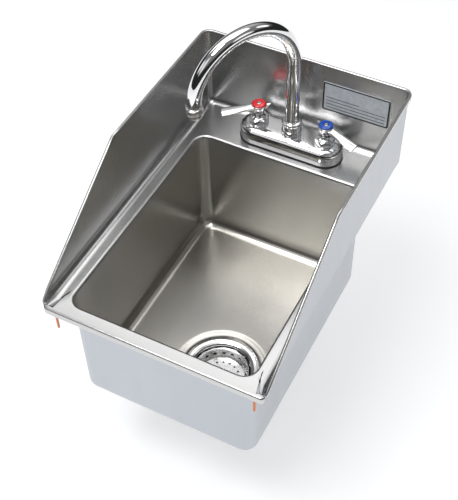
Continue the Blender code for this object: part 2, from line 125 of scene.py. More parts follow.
# Studio: soft bright cards as (direction, full within, gone beyond, strength) on a dim surround
WORLD_HORIZON = 0.02
WORLD_DIM = 0.19
WORLD_CARDS = (
    ((0.0, 0.12, 1.0), 22, 27, 1.0),
    ((-0.35, 0.60, 0.72), 10, 38, 0.27),
    ((0.58, 0.56, 0.56), 8, 12, 1.2),
    ((0.97, -0.10, 0.40), 9, 14, 0.9),
    ((-0.80, -0.50, 0.45), 8, 13, 0.8),
    ((-0.30, -0.78, 0.54), 9, 20, 0.6),
)
FLOOR_GLOW = 0.50
BACKDROP = (0.90, 0.90, 0.90, 1)
KEY_POWER = 20
RIM_CARD_POWER = 0.50


# ---------------------------------------------------------------- materials

def new_material(name, colour, roughness, metallic, **numbers):
    """A Principled material with its even values on the shader's own sockets."""
    made = bpy.data.materials.new(name)
    made.use_nodes = True
    shader = made.node_tree.nodes["Principled BSDF"]
    shader.inputs["Base Color"].default_value = (*colour, 1.0)
    shader.inputs["Roughness"].default_value = roughness
    shader.inputs["Metallic"].default_value = metallic
    for socket, value in numbers.items():
        shader.inputs[socket.replace("_", " ")].default_value = value
    return made


def add_node(coat, kind, **settings):
    """A node of a kind in the coat's tree, with its settings."""
    node = coat.node_tree.nodes.new(kind)
    for key, value in settings.items():
        setattr(node, key, value)
    return node


def shader_of(coat):
    """The coat's Principled shader."""
    return coat.node_tree.nodes["Principled BSDF"]


def stretched_noise(coat, stretch, scale, detail=4.0, roughness=0.55):
    """Noise over the object's own coordinates, stretched by a different factor on each axis."""
    links = coat.node_tree.links
    where = add_node(coat, "ShaderNodeTexCoord")
    mapping = add_node(coat, "ShaderNodeMapping")
    mapping.inputs["Scale"].default_value = stretch
    noise = add_node(coat, "ShaderNodeTexNoise")
    noise.inputs["Scale"].default_value = scale
    noise.inputs["Detail"].default_value = detail
    noise.inputs["Roughness"].default_value = roughness
    links.new(where.outputs["Object"], mapping.inputs["Vector"])
    links.new(mapping.outputs["Vector"], noise.inputs["Vector"])
    return noise.outputs["Fac"]


def remap(coat, value, low, high, start=0.3, end=0.7):
    """Maps a value from start..end onto low..high; the default start and end suit noise."""
    node = add_node(coat, "ShaderNodeMapRange")
    node.inputs["From Min"].default_value = start
    node.inputs["From Max"].default_value = end
    node.inputs["To Min"].default_value = low
    node.inputs["To Max"].default_value = high
    coat.node_tree.links.new(value, node.inputs["Value"])
    return node.outputs["Result"]


def vary_colour(coat, value, dark, light):
    """Mixes the base colour between two shades by a value."""
    mix = add_node(coat, "ShaderNodeMix", data_type="RGBA")
    mix.inputs["A"].default_value = (*dark, 1.0)
    mix.inputs["B"].default_value = (*light, 1.0)
    coat.node_tree.links.new(value, mix.inputs["Factor"])
    coat.node_tree.links.new(mix.outputs["Result"], shader_of(coat).inputs["Base Color"])


def add_bump(coat, value, strength, distance):
    """Raises the surface by a value."""
    bump = add_node(coat, "ShaderNodeBump")
    bump.inputs["Strength"].default_value = strength
    bump.inputs["Distance"].default_value = distance
    coat.node_tree.links.new(value, bump.inputs["Height"])
    coat.node_tree.links.new(bump.outputs["Normal"], shader_of(coat).inputs["Normal"])


def satin_steel(name, roughness, dark, light, below_deck_tint):
    """Brushed stainless: fine scratches down the walls and along the flats, soft streaks, slow waves.

    Below the deck the colour eases towards a second tint given for each coat.
    """
    coat = new_material(name, light, roughness, 1.0)
    links = coat.node_tree.links
    where = add_node(coat, "ShaderNodeTexCoord")
    parts = add_node(coat, "ShaderNodeSeparateXYZ")
    size = add_node(coat, "ShaderNodeMath", operation="ABSOLUTE")
    links.new(where.outputs["Normal"], parts.inputs["Vector"])
    links.new(parts.outputs["Z"], size.inputs[0])
    flat = remap(coat, size.outputs["Value"], 0.0, 1.0, 0.55, 0.85)

    def by_facing(wall_value, flat_value):
        mix = add_node(coat, "ShaderNodeMix", data_type="FLOAT")
        links.new(flat, mix.inputs["Factor"])
        links.new(wall_value, mix.inputs["A"])
        links.new(flat_value, mix.inputs["B"])
        return mix.outputs["Result"]

    scratches = by_facing(stretched_noise(coat, (1, 1, 0.02), 1100.0, 2.0),
                          stretched_noise(coat, (1, 0.02, 1), 1100.0, 2.0))
    streaks = by_facing(stretched_noise(coat, (1, 1, 0.12), 42.0, 2.0),
                        stretched_noise(coat, (1, 0.15, 1), 36.0, 2.0))
    clouds = stretched_noise(coat, (1, 1, 1), 13.0, 3.0)
    waves = stretched_noise(coat, (1, 1, 0.6), 7.0, 1.0)
    links.new(remap(coat, scratches, roughness * 0.96, roughness * 1.04), shader_of(coat).inputs["Roughness"])

    place_parts = add_node(coat, "ShaderNodeSeparateXYZ")
    links.new(where.outputs["Object"], place_parts.inputs["Vector"])
    # Below the deck the colour eases to the second tint: warmer on the inner steel, a painted bluish reflection on the
    # outer steel.
    depth = remap(coat, place_parts.outputs["Z"], 1.0, 0.0, -0.03, -0.004)
    shades = []
    for tint in ((1.0, 1.0, 1.0), below_deck_tint):
        mix = add_node(coat, "ShaderNodeMix", data_type="RGBA")
        mix.inputs["A"].default_value = (*(c * t for c, t in zip(dark, tint)), 1.0)
        mix.inputs["B"].default_value = (*(c * t for c, t in zip(light, tint)), 1.0)
        blend = add_node(coat, "ShaderNodeMath", operation="MULTIPLY_ADD")
        links.new(remap(coat, streaks, 0.0, 0.6), blend.inputs[0])
        blend.inputs[1].default_value = 1.0
        links.new(remap(coat, clouds, 0.0, 0.4), blend.inputs[2])
        links.new(blend.outputs["Value"], mix.inputs["Factor"])
        shades.append(mix.outputs["Result"])
    join = add_node(coat, "ShaderNodeMix", data_type="RGBA")
    links.new(depth, join.inputs["Factor"])
    links.new(shades[0], join.inputs["A"])
    links.new(shades[1], join.inputs["B"])
    links.new(join.outputs["Result"], shader_of(coat).inputs["Base Color"])
    add_bump(coat, waves, 0.35, 0.0020)
    return coat


def chrome_plate(name, roughness):
    """Bright plating with a faint haze in its roughness."""
    coat = new_material(name, (0.90, 0.90, 0.91), roughness, 1.0)
    haze = stretched_noise(coat, (1, 1, 1), 60.0, 3.0)
    rough = remap(coat, haze, roughness * 0.7, roughness * 1.5)
    coat.node_tree.links.new(rough, shader_of(coat).inputs["Roughness"])
    return coat


def plain(name, colour, roughness, metallic, grain=600.0, depth=0.15):
    """A plain coat with fine grain in its shade and surface."""
    coat = new_material(name, colour, roughness, metallic)
    noise = stretched_noise(coat, (1, 1, 1), grain, 3.0)
    darker = tuple(channel * 0.82 for channel in colour)
    vary_colour(coat, remap(coat, noise, 0.0, 1.0), darker, colour)
    add_bump(coat, noise, depth, 0.0002)
    return coat


STEEL = satin_steel("satin_steel", 0.26, (0.575, 0.575, 0.575), (0.61, 0.61, 0.605), (1.0, 0.975, 0.92))
# Painted shade and painted reflection: the outer side of the same sheet is a darker, bluer copy of the steel, bluer
# still below the deck.
OUTER_STEEL_PAINTED_SHADE = satin_steel("outer_steel_painted_shade", 0.34, (0.50, 0.52, 0.545), (0.53, 0.55, 0.58), (0.97, 0.985, 1.0))
CHROME = chrome_plate("chrome_plate", 0.035)
DRAIN_STEEL = chrome_plate("drain_steel", 0.13)
BASKET_STEEL = chrome_plate("basket_steel", 0.24)
BRASS = plain("machined_brass", (0.70, 0.53, 0.27), 0.34, 1.0)
COPPER = plain("copper_flash", (0.70, 0.27, 0.14), 0.36, 1.0, 300.0)
RUBBER = plain("black_rubber", (0.018, 0.018, 0.019), 0.62, 0.0)
FIBRE = plain("pressed_fibre", (0.45, 0.32, 0.20), 0.92, 0.0, 500.0, 0.5)
SCREEN = plain("aerator_plastic", (0.55, 0.55, 0.54), 0.5, 0.0)
PLATE = plain("plate_metal", (0.80, 0.85, 0.91), 0.34, 0.0, 200.0, 0.05)
INK = plain("plate_ink", (0.012, 0.012, 0.014), 0.45, 0.0)
RED = new_material("index_red", (0.90, 0.012, 0.022), 0.22, 0.0, Coat_Weight=0.6)
BLUE = new_material("index_blue", (0.010, 0.085, 0.50), 0.22, 0.0, Coat_Weight=0.6)
# Painted shade: near-black for the floor of the screw socket, standing in for its depth.
SOCKET_SHADE = new_material("painted_socket_shade", (0.01, 0.01, 0.01), 0.5, 0.6)


# ---------------------------------------------------------------- mesh helpers

def finish_mesh(name, points, faces, coat, sharp=38.0, weighted=True):
    """A shown object, smooth but for edges sharper than the angle."""
    mesh = bpy.data.meshes.new(name)
    mesh.from_pydata([tuple(map(float, point)) for point in points], [], faces)
    mesh.materials.append(coat)
    mesh.shade_smooth()
    mesh.set_sharp_from_angle(angle=math.radians(sharp))
    obj = bpy.data.objects.new(name, mesh)
    bpy.context.scene.collection.objects.link(obj)
    if weighted:
        even = obj.modifiers.new("even_normals", "WEIGHTED_NORMAL")
        even.keep_sharp = True
    return obj


def skin_faces(rows, columns, loop_rows):
    """Quads between closed rows of points, and from the last row to the first if asked."""
    faces = []
    for r in range(rows if loop_rows else rows - 1):
        after = (r + 1) % rows
        for c in range(columns):
            beside = (c + 1) % columns
            faces.append((
                r * columns + c, r * columns + beside,
                after * columns + beside, after * columns + c,
            ))
    return faces


def skin(name, rows, coat, loop_rows=False, caps=False, **options):
    """A surface through closed rows of equally many points."""
    count = len(rows[0])
    points = [point for row in rows for point in row]
    faces = skin_faces(len(rows), count, loop_rows)
    if caps:
        faces.append(tuple(range(count - 1, -1, -1)))
        faces.append(tuple(range(len(points) - count, len(points))))
    return finish_mesh(name, points, faces, coat, **options)


def fillet(profile, radius, steps=3, closed=True):
    """Rounds the corners of a profile of (radius, height) points."""
    rounded = []
    count = len(profile)
    for k, corner in enumerate(profile):
        if not closed and k in (0, count - 1):
            rounded.append(corner)
            continue
        here = Vector(corner)
        before = Vector(profile[k - 1]) - here
        after = Vector(profile[(k + 1) % count]) - here
        turn = before.angle(after, math.pi)
        if turn > math.radians(172) or min(before.length, after.length) < 1e-6:
            rounded.append(corner)
            continue
        reach = min(radius / math.tan(turn / 2), 0.45 * before.length, 0.45 * after.length)
        start = here + before.normalized() * reach
        end = here + after.normalized() * reach
        for t in np.linspace(0, 1, steps + 1):
            bend = start * (1 - t) ** 2 + here * (2 * t * (1 - t)) + end * t ** 2
            rounded.append((bend.x, bend.y))
    return rounded


def turned(name, profile, spot, coat, sides=72, closed=True, edge=0.0004, steps=3):
    """A turned piece: the profile's corners are rounded, and it is spun about the spot."""
    outline = fillet(profile, edge, steps, closed)
    rows = [
        [(spot[0] + max(r, 0.00001) * math.cos(a), spot[1] + max(r, 0.00001) * math.sin(a), z)
         for a in np.arange(sides) * 2 * math.pi / sides]
        for r, z in outline
    ]
    rows = [row[::-1] for row in rows]
    return skin(name, rows, coat, loop_rows=closed)


def box_profile(inner, outer, low, high):
    """A square-cornered ring's profile."""
    return [(outer, high), (outer, low), (inner, low), (inner, high)]


def thread_profile(inner, crest, low, high, pitch):
    """A hollow screw's profile: ridges down the outside, plain inside."""
    depth = pitch * 0.5
    turns = int((high - low) / pitch)
    outside = [(crest - depth, high)]
    for k in range(turns):
        top = high - k * pitch
        outside += [(crest, top - pitch * 0.4), (crest, top - pitch * 0.55), (crest - depth, top - pitch * 0.95)]
    outside += [(crest - depth, low), (inner, low), (inner, high)]
    return outside


def polygon_radius(angle, sides, corner):
    """Distance from the middle to a regular polygon's side, at an angle."""
    half = math.pi / sides
    return corner * math.cos(half) / math.cos((angle + half) % (2 * half) - half)


def nut(name, spot, low, high, corner, bore, coat, sides=6, chamfer_low=False):
    """A nut with flats, cut by a cone at its top, and at its bottom if asked."""
    angles = np.arange(sides * 16) * 2 * math.pi / (sides * 16)
    flat = corner * math.cos(math.pi / sides)
    drop = (corner - flat) * 0.62
    levels = [(high, flat * 0.97)]
    levels += [(high - drop * t, flat * 0.97 + (corner - flat * 0.97) * t) for t in (0.25, 0.5, 0.75, 1.0)]
    if chamfer_low:
        levels += [(low + drop * t, flat * 0.97 + (corner - flat * 0.97) * t) for t in (1.0, 0.5, 0.0)]
    else:
        levels += [(low + 0.0004, corner), (low, corner - 0.0005)]

    def ring_at(z, limit):
        return [
            (spot[0] + r * math.cos(a), spot[1] + r * math.sin(a), z)
            for a, r in ((a, min(limit, polygon_radius(a, sides, corner))) for a in angles)
        ]

    rows = [ring_at(z, limit) for z, limit in levels]
    rows += [ring_at(low, bore), ring_at(high, bore)]
    rows = [row[::-1] for row in rows]
    return skin(name, rows, coat, loop_rows=True, sharp=25.0)


def together(name, *objs):
    """Joins objects into the first and names it."""
    with bpy.context.temp_override(
        active_object=objs[0], object=objs[0], selected_objects=list(objs),
        selected_editable_objects=list(objs),
    ):
        bpy.ops.object.join()
    objs[0].name = name
    objs[0].data.name = name
    return objs[0]


def place(obj, body, slot, *nodes):
    """The piece rides on its body and stands for the nodes, which it hides; the slot is not used."""
    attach(obj, body)
    if nodes:
        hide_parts(*nodes)
    return obj


# ---------------------------------------------------------------- sink shell

FRONT_ARC = 8
BACK_ARC = 10
SIDE_RUN = 30
ACROSS = 24
CORNER_FRONT = 0.006
CORNER_BACK = 0.0095
SIDE_COVE = 0.0115
BACK_COVE = 0.0085
HEM = 0.00225
HEM_DOWN = 0.005
LIP_BEND = 0.003
LIP_CURL = 0.002
FLOOR_FALL = 0.0012


def loop_points(half_x, front_y, back_y, front_radius, back_radius, kink=None):
    """Plan of a rounded rectangle from its front middle, counterclockwise: (x, y, nx, ny) rows."""
    out = []

    def straight(start, end, count, normal):
        for t in np.arange(count) / count:
            out.append((*(start + (end - start) * t), *normal))

    def corner(centre, radius, start_angle, count):
        for t in np.arange(count) / count:
            angle = start_angle + math.pi / 2 * t
            out.append((centre[0] + radius * math.cos(angle), centre[1] + radius * math.sin(angle),
                        math.cos(angle), math.sin(angle)))

    def side_run(sign):
        x = sign * half_x
        low = np.array((x, front_y + front_radius))
        high = np.array((x, back_y - back_radius))
        middle = np.array((x, kink)) if kink else (low + high) / 2
        runs = ((low, middle), (middle, high)) if sign > 0 else ((high, middle), (middle, low))
        for start, end in runs:
            straight(start, end, SIDE_RUN // 2, (sign, 0.0))

    front_x = half_x - front_radius
    back_x = half_x - back_radius
    straight(np.array((0, front_y)), np.array((front_x, front_y)), ACROSS // 2, (0.0, -1.0))
    corner((front_x, front_y + front_radius), front_radius, -math.pi / 2, FRONT_ARC)
    side_run(1)
    corner((back_x, back_y - back_radius), back_radius, 0, BACK_ARC)
    straight(np.array((back_x, back_y)), np.array((-back_x, back_y)), ACROSS, (0.0, 1.0))
    corner((-back_x, back_y - back_radius), back_radius, math.pi / 2, BACK_ARC)
    side_run(-1)
    corner((-front_x, front_y + front_radius), front_radius, math.pi, FRONT_ARC)
    straight(np.array((-front_x, front_y)), np.array((0, front_y)), ACROSS // 2, (0.0, -1.0))
    return np.array(out)


def smoothstep(value, low, high):
    """An eased rise from 0 at low to 1 at high."""
    t = min(max((value - low) / (high - low), 0.0), 1.0)
    return t * t * (3 - 2 * t)


def wall_height(y):
    """Height of the splash's top edge at a distance from the front."""
    slope = (TOP_Z - NOSE_Z) / (KINK_Y - LIP_FACE_Y)
    return min(TOP_Z, NOSE_Z + slope * (y - LIP_FACE_Y))


def edge_section(cove, top, up):
    """(outset, height) rows from the deck to the sheet's end, folded up or down."""
    quarter = np.linspace(0, math.pi / 2, 9)
    fold = np.linspace(0, math.pi, 9)[1:]
    rows = [(-cove - 0.0006, DECK_TOP)]
    if up:
        cove = min(cove, (top - DECK_TOP) * 0.9)
        rows += [(-cove + cove * math.sin(a), DECK_TOP + cove - cove * math.cos(a)) for a in quarter]
        base, crest = DECK_TOP + cove, top - HEM
        rows += [(0, base + (crest - base) * t) for t in (0.04, 0.35, 0.65, 0.96)]
        rows += [(HEM - HEM * math.cos(a), crest + HEM * math.sin(a)) for a in np.linspace(0, math.pi, 9)]
        down = min(HEM_DOWN, (crest - DECK_TOP) * 0.5)
        rows += [(2 * HEM, crest - down)]
    else:
        bend, curl, low = LIP_BEND, LIP_CURL, DECK_TOP - LIP_HEIGHT
        rows += [(-bend + bend * math.sin(a), DECK_TOP - bend + bend * math.cos(a)) for a in quarter]
        base, crest = DECK_TOP - bend, low + curl
        rows += [(0, base + (crest - base) * t) for t in (0.04, 0.35, 0.65, 0.96)]
        rows += [(-curl + curl * math.cos(a), crest - curl * math.sin(a)) for a in [0.0, *fold]]
        rows += [(-2 * curl, crest + 0.0015)]
    return rows


def sink_shell():
    """Deck, lip, splashes and bowl in one sheet, as welded and polished together."""
    half = WIDTH / 2
    inner_face = half - SHEET
    wall = loop_points(inner_face, LIP_FACE_Y, BACK_Y - SHEET, CORNER_FRONT, CORNER_BACK, KINK_Y)
    lip = loop_points(half, LIP_FACE_Y, BACK_Y - SHEET, CORNER_FRONT, CORNER_BACK, KINK_Y)
    columns = []
    for (x, y, nx, ny), (lip_x, lip_y, _, _) in zip(wall, lip):
        up = smoothstep(y, LIP_FACE_Y + 0.0030, LIP_FACE_Y + 0.0068)
        at_back = smoothstep(y, BACK_Y - 0.035, BACK_Y - 0.012)
        cove = SIDE_COVE + (BACK_COVE - SIDE_COVE) * at_back
        raised = edge_section(cove, wall_height(y), True)
        lowered = edge_section(LIP_BEND, 0, False)
        column = []
        for (out_up, z_up), (out_low, z_low) in zip(raised, lowered):
            high_point = Vector((x + nx * out_up, y + ny * out_up, z_up))
            low_point = Vector((lip_x + nx * out_low, lip_y + ny * out_low, z_low))
            column.append(low_point.lerp(high_point, up))
        columns.append(column)
    rows = [list(row) for row in zip(*columns)][::-1]

    def bowl_ring(inset, z):
        radius = BOWL_CORNER - inset * (1.0 if inset < 0 else 0.8)
        plan = loop_points(
            BOWL_WIDTH / 2 - inset, BOWL_MIDDLE_Y - BOWL_LENGTH / 2 + inset,
            BOWL_MIDDLE_Y + BOWL_LENGTH / 2 - inset, radius, radius,
        )
        return [Vector((x, y, z)) for x, y, _, _ in plan]

    edge_z = DECK_TOP - EDGE_ROLL
    rows.append(bowl_ring(-EDGE_ROLL - EDGE_FLAT, DECK_TOP))
    for a in np.linspace(0, math.pi / 2, 9):
        rows.append(bowl_ring(-EDGE_ROLL + EDGE_ROLL * math.sin(a), edge_z + EDGE_ROLL * math.cos(a)))
    cove_top = FLOOR_Z + BOWL_COVE
    for t in (0.02, 0.25, 0.5, 0.75, 0.98):
        rows.append(bowl_ring(0, edge_z + (cove_top - edge_z) * t))
    for a in np.linspace(0, math.pi / 2, 12):
        rows.append(bowl_ring(BOWL_COVE - BOWL_COVE * math.cos(a), cove_top - BOWL_COVE * math.sin(a)))
    count = len(rows[0])
    floor_edge = bowl_ring(BOWL_COVE, FLOOR_Z)

    def drain_ring(radius, z):
        turn = -math.pi / 2 + np.arange(count) * 2 * math.pi / count
        return [Vector((DRAIN[0] + radius * math.cos(a), DRAIN[1] + radius * math.sin(a), z)) for a in turn]

    near = drain_ring(RECESS_RADIUS + 0.001, FLOOR_Z - FLOOR_FALL)
    for t in (0.04, 0.2, 0.4, 0.6, 0.8, 0.96):
        rows.append([a.lerp(b, t) for a, b in zip(floor_edge, near)])
    rows.append(near)
    depth = FLOOR_Z - FLOOR_FALL - SEAT_Z
    for t in np.linspace(0, 1, 11):
        radius = RECESS_RADIUS + (SEAT_RADIUS - RECESS_RADIUS) * t
        rows.append(drain_ring(radius, FLOOR_Z - FLOOR_FALL - depth * smoothstep(t, -0.15, 1.05) * 0.999))
    rows.append(drain_ring(SEAT_RADIUS - 0.001, SEAT_Z))
    rows.append(drain_ring(DRAIN_HOLE, SEAT_Z))
    shell = skin("sink_shell", rows, STEEL, sharp=50.0, weighted=False)
    sheet = shell.modifiers.new("sheet", "SOLIDIFY")
    sheet.thickness = SHEET - 0.0001
    sheet.offset = -1.0
    sheet.material_offset = 1
    # The outer side takes the darker, bluer copy of the steel: painted shade and painted reflection.
    shell.data.materials.append(OUTER_STEEL_PAINTED_SHADE)
    even = shell.modifiers.new("even_normals", "WEIGHTED_NORMAL")
    even.keep_sharp = True
    return shell


def stud(word):
    """A threaded stud welded under the rim."""
    low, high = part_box("weld_stud_" + word)
    spot = ((low[0] + high[0]) / 2, (low[1] + high[1]) / 2)
    radius = (high[0] - low[0]) / 2
    profile = [(0.0, high[2]), (radius * 0.98, high[2])]
    pitch = 0.00127
    for k in range(int((high[2] - low[2] - 0.002) / pitch)):
        top = high[2] - 0.001 - k * pitch
        profile += [(radius * 0.86, top), (radius * 0.99, top - pitch * 0.5)]
    profile += [(radius * 0.80, low[2] + 0.0005), (radius * 0.5, low[2]), (0.0, low[2])]
    piece = turned("stud_" + word, profile, spot, COPPER, 24, False, 0.0001, 1)
    place(piece, "sink", "copper_flash", "weld_stud_" + word)


# ---------------------------------------------------------------- nameplate

def plate_outline(half_x, half_z, radius, depth):
    """A rounded rectangle on the nameplate, at a depth behind its face."""
    low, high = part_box("nameplate")
    middle_x, middle_z = (low[0] + high[0]) / 2, (low[2] + high[2]) / 2
    face_y = low[1]
    points = []
    for sx, sz, start in ((1, -1, -90), (1, 1, 0), (-1, 1, 90), (-1, -1, 180)):
        for t in np.linspace(0, 90, 7):
            a = math.radians(start + t)
            points.append((middle_x + sx * (half_x - radius) + radius * math.cos(a), face_y + depth,
                           middle_z + sz * (half_z - radius) + radius * math.sin(a)))
    return points


def nameplate():
    """A blank rating plate: a printed border and ruled lines, with nothing written on it."""
    low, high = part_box("nameplate")
    half_x, half_z = (high[0] - low[0]) / 2, (high[2] - low[2]) / 2
    thick = high[1] - low[1]
    rows = [plate_outline(half_x, half_z, 0.003, thick)]
    rows += [plate_outline(half_x, half_z, 0.003, 0.0003)]
    rows += [plate_outline(half_x - 0.0002, half_z - 0.0002, 0.0028, 0.0001)]
    plate = skin("nameplate_blank", rows, PLATE, caps=True)
    border = skin("nameplate_border", [
        plate_outline(half_x - 0.0003, half_z - 0.0003, 0.0027, 0.00006),
        plate_outline(half_x - 0.0026, half_z - 0.0026, 0.0010, 0.00006),
    ], INK, weighted=False)
    bars = []
    middle_x, middle_z = (low[0] + high[0]) / 2, (low[2] + high[2]) / 2
    for k, (start, end) in enumerate(((-0.88, 0.10), (-0.88, 0.88), (-0.88, 0.88), (-0.88, 0.88))):
        z = middle_z - half_z * (0.05 + 0.23 * k)
        x0, x1 = middle_x + half_x * start, middle_x + half_x * end
        y = low[1] + 0.00006
        corners = [(x0, y, z), (x1, y, z), (x1, y, z + 0.0010), (x0, y, z + 0.0010)]
        bars.append(finish_mesh(f"rule_{k}", corners, [(0, 1, 2, 3)], INK, weighted=False))
    print_layer = together("nameplate_print", border, *bars)
    place(plate, "sink", "plate_silver", "nameplate")
    place(print_layer, "sink", "plate_silver")


# ---------------------------------------------------------------- faucet

def stadium(half_x, half_y, z, count=20):
    """An oblong with full round ends, clockwise as seen from above."""
    run = half_x - half_y
    points = []
    for sign, start in ((1, -math.pi / 2), (-1, math.pi / 2)):
        for t in np.linspace(0, math.pi, count + 1):
            points.append((sign * run + half_y * math.cos(start + t), FAUCET_Y + half_y * math.sin(start + t), z))
    return points[::-1]


def faucet_body():
    """The oblong casting with a crowned edge, and the gasket under it."""
    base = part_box("faucet_body")[0][2]
    crown = 0.0105
    levels = [(0.0, base), (0.0, base + 0.0004), (0.0, base + 0.004), (0.0, BODY_TOP_Z - crown - 0.001)]
    levels += [
        (crown - crown * math.cos(a), BODY_TOP_Z - 0.0004 - crown + crown * math.sin(a))
        for a in np.linspace(0, math.pi / 2, 13)
    ]
    levels += [(crown + 0.002, BODY_TOP_Z - 0.0002), (0.018, BODY_TOP_Z)]
    rows = [stadium(BODY_HALF_LENGTH - inset, BODY_HALF_WIDTH - inset, z) for inset, z in levels]
    body = skin("faucet_casting", rows, CHROME, caps=True)
    place(body, "sink", "chrome", "faucet_body")
    low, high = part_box("faucet_base_gasket")
    grow = (high[0] - low[0]) / 2 - BODY_HALF_LENGTH
    levels = [(grow - 0.0003, low[2]), (grow, low[2] + 0.0003), (grow, high[2]), (grow - 0.0005, high[2] + 0.0001)]
    rows = [stadium(BODY_HALF_LENGTH + g, BODY_HALF_WIDTH + g, z) for g, z in levels]
    place(skin("base_gasket", rows, RUBBER, caps=True), "sink", "black_rubber", "faucet_base_gasket")


def bonnet(word, spot):
    """The hex nut over a cartridge, with its skirt and collar."""
    base = BODY_TOP_Z + 0.0003
    hex_part = nut(word + "_hex", spot, base, base + 0.0085, 0.0140, 0.0050, CHROME)
    washer = turned(word + "_skirt", box_profile(0.0050, 0.0139, base - 0.0002, base + 0.0012), spot, CHROME)
    collar = turned(word + "_collar", [
        (0.0086, 0.0425), (0.0092, 0.0415), (0.0092, 0.0402), (0.0076, 0.0392), (0.0076, 0.0380),
        (0.0104, 0.0366), (0.0108, 0.0350), (0.0050, 0.0350), (0.0050, 0.0425),
    ], spot, CHROME)
    place(together(word + "_bonnet_nut", hex_part, washer, collar), "sink", "chrome", word + "_bonnet")


def fluted_hub(name, spot, angle):
    """The lever's hub: it widens upwards, with eight shallow flutes under a plain rim."""
    rows = []
    levels = ((0.0440, 0.0076, 0.0), (0.0443, 0.0082, 0.3), (0.0460, 0.0085, 1.0), (0.0500, 0.0091, 1.0),
              (0.0530, 0.0099, 0.8), (0.0545, 0.0105, 0.2), (0.0555, 0.0108, 0.0), (0.0568, 0.0109, 0.0),
              (0.0574, 0.0107, 0.0), (0.0575, 0.0103, 0.0), (0.0567, 0.0101, 0.0), (0.0566, 0.0030, 0.0))
    for z, radius, flute in levels:
        ring = []
        for a in np.arange(96) * 2 * math.pi / 96:
            r = radius * (1 - 0.085 * flute * (0.5 + 0.5 * math.cos(8 * a)) ** 0.6)
            ring.append((spot[0] + r * math.cos(a + angle), spot[1] + r * math.sin(a + angle), z))
        rows.append(ring[::-1])
    return skin(name, rows[::-1], CHROME, caps=True, sharp=60.0)


def blade_section(x, half_width, top, bottom, tilt=0.0):
    """A section across the lever at a distance along it: crowned and tilted on top, flatter beneath."""
    crown = min(0.0008, half_width * 0.2)
    points = []
    for t in np.linspace(-1, 1, 13):
        points.append((x, half_width * t, top - crown * t * t - 0.0004 * abs(t) ** 6 + tilt * half_width * t))
    for t in np.linspace(1, -1, 9):
        points.append((x, half_width * 0.94 * t, bottom + crown * 0.5 * t * t + tilt * half_width * t))
    return points


def lever_handle(word, side, angle, colour):
    """Hub, blade and tail in one, with the index ring and the screw on top."""
    spot = (side * HANDLE_X, FAUCET_Y)
    hub = fluted_hub(word + "_hub", spot, angle)
    stations = ((0.0040, 0.0062, 0.0562, 0.0500), (0.0100, 0.0056, 0.0560, 0.0508), (0.0160, 0.0052, 0.0556, 0.0514),
                (0.0240, 0.0055, 0.0549, 0.0510), (0.0340, 0.0062, 0.0541, 0.0504), (0.0440, 0.0069, 0.0534, 0.0498),
                (0.0500, 0.0071, 0.0530, 0.0496), (0.0528, 0.0070, 0.0528, 0.0496), (0.0540, 0.0062, 0.0526, 0.0498),
                (0.0545, 0.0048, 0.0523, 0.0501))
    tilt = 0.15 * side
    sections = [blade_section(*station, tilt) for station in stations]
    blade = skin(word + "_blade", sections, CHROME, caps=True, sharp=60.0)
    tail_stations = ((-0.0170, 0.0008, 0.0560, 0.0550), (-0.0162, 0.0016, 0.0563, 0.0545),
                     (-0.0130, 0.0030, 0.0564, 0.0525), (-0.0090, 0.0044, 0.0564, 0.0500),
                     (-0.0040, 0.0052, 0.0564, 0.0480))
    sections = [blade_section(*station) for station in tail_stations]
    tail = skin(word + "_tail", sections, CHROME, caps=True, sharp=60.0)
    turn = Matrix.Translation((*spot, 0)) @ Matrix.Rotation(angle, 4, "Z")
    for piece in (blade, tail):
        piece.data.transform(turn)
    body = word + "_lever"
    place(together(word + "_lever_handle", hub, blade, tail), body, "chrome", word + "_handle")
    ring_piece = turned(word + "_index", [
        (0.0036, 0.0602), (0.0060, 0.0601), (0.0082, 0.0597), (0.0096, 0.0589), (0.0099, 0.0578), (0.0099, 0.0568),
        (0.0034, 0.0568), (0.0034, 0.0600),
    ], spot, colour, edge=0.0003)
    place(ring_piece, body, "index_red" if colour is RED else "index_blue", word + "_index_ring")
    head = turned(word + "_screw_head", [
        (0.0, 0.0588), (0.0011, 0.0588), (0.0013, 0.0598), (0.0024, 0.0597),
        (0.0029, 0.0592), (0.0029, 0.0568), (0.0, 0.0568),
    ], spot, CHROME, 40, False, 0.0001)
    # The dark disc at the floor of the screw head's shallow recess is painted shade for the socket's depth.
    socket = turned(word + "_screw_socket_shade", [(0.0, 0.05895), (0.0012, 0.05895), (0.0012, 0.0586), (0.0, 0.0586)],
                    spot, SOCKET_SHADE, 24, False, 0.00005)
    place(together(word + "_screw", head, socket), body, "chrome", word + "_handle_screw")


def under_deck(word, side):
    """What shows of a tap below the deck: threaded shank, washer and lock nut."""
    spot = (side * HANDLE_X, FAUCET_Y)
    low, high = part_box(word + "_shank")
    shank = turned(word + "_threaded_shank",
                   thread_profile(0.0065, (high[0] - low[0]) / 2, low[2], high[2], 0.0018),
                   spot, BRASS, 48, True, 0.0001, 1)
    place(shank, "sink", "brass", word + "_shank")
    low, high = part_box(word + "_shank_washer")
    washer = turned(word + "_rubber_washer", box_profile(0.0106, (high[0] - low[0]) / 2, low[2], high[2]),
                    spot, RUBBER, 64, True, 0.0006)
    place(washer, "sink", "black_rubber", word + "_shank_washer")
    low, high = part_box(word + "_locknut")
    lock = nut(word + "_lock_nut", spot, low[2], high[2], 0.0195, 0.0106, BRASS, 6, True)
    place(lock, "sink", "brass", word + "_locknut")


def sweep(path, across, radius, sides, name, coat, wall=0.0):
    """A round tube along a path that lies in one plane, across being that plane's normal."""
    rows = []
    for k, point in enumerate(path):
        along = (path[min(k + 1, len(path) - 1)] - path[max(k - 1, 0)]).normalized()
        other = along.cross(across).normalized()
        rows.append([
            point + across * (radius * math.cos(a)) + other * (radius * math.sin(a))
            for a in np.arange(sides) * 2 * math.pi / sides
        ])
    tube = skin(name, rows, coat, weighted=False)
    if wall:
        thick = tube.modifiers.new("wall", "SOLIDIFY")
        thick.thickness = wall
        thick.offset = -1.0
    return tube


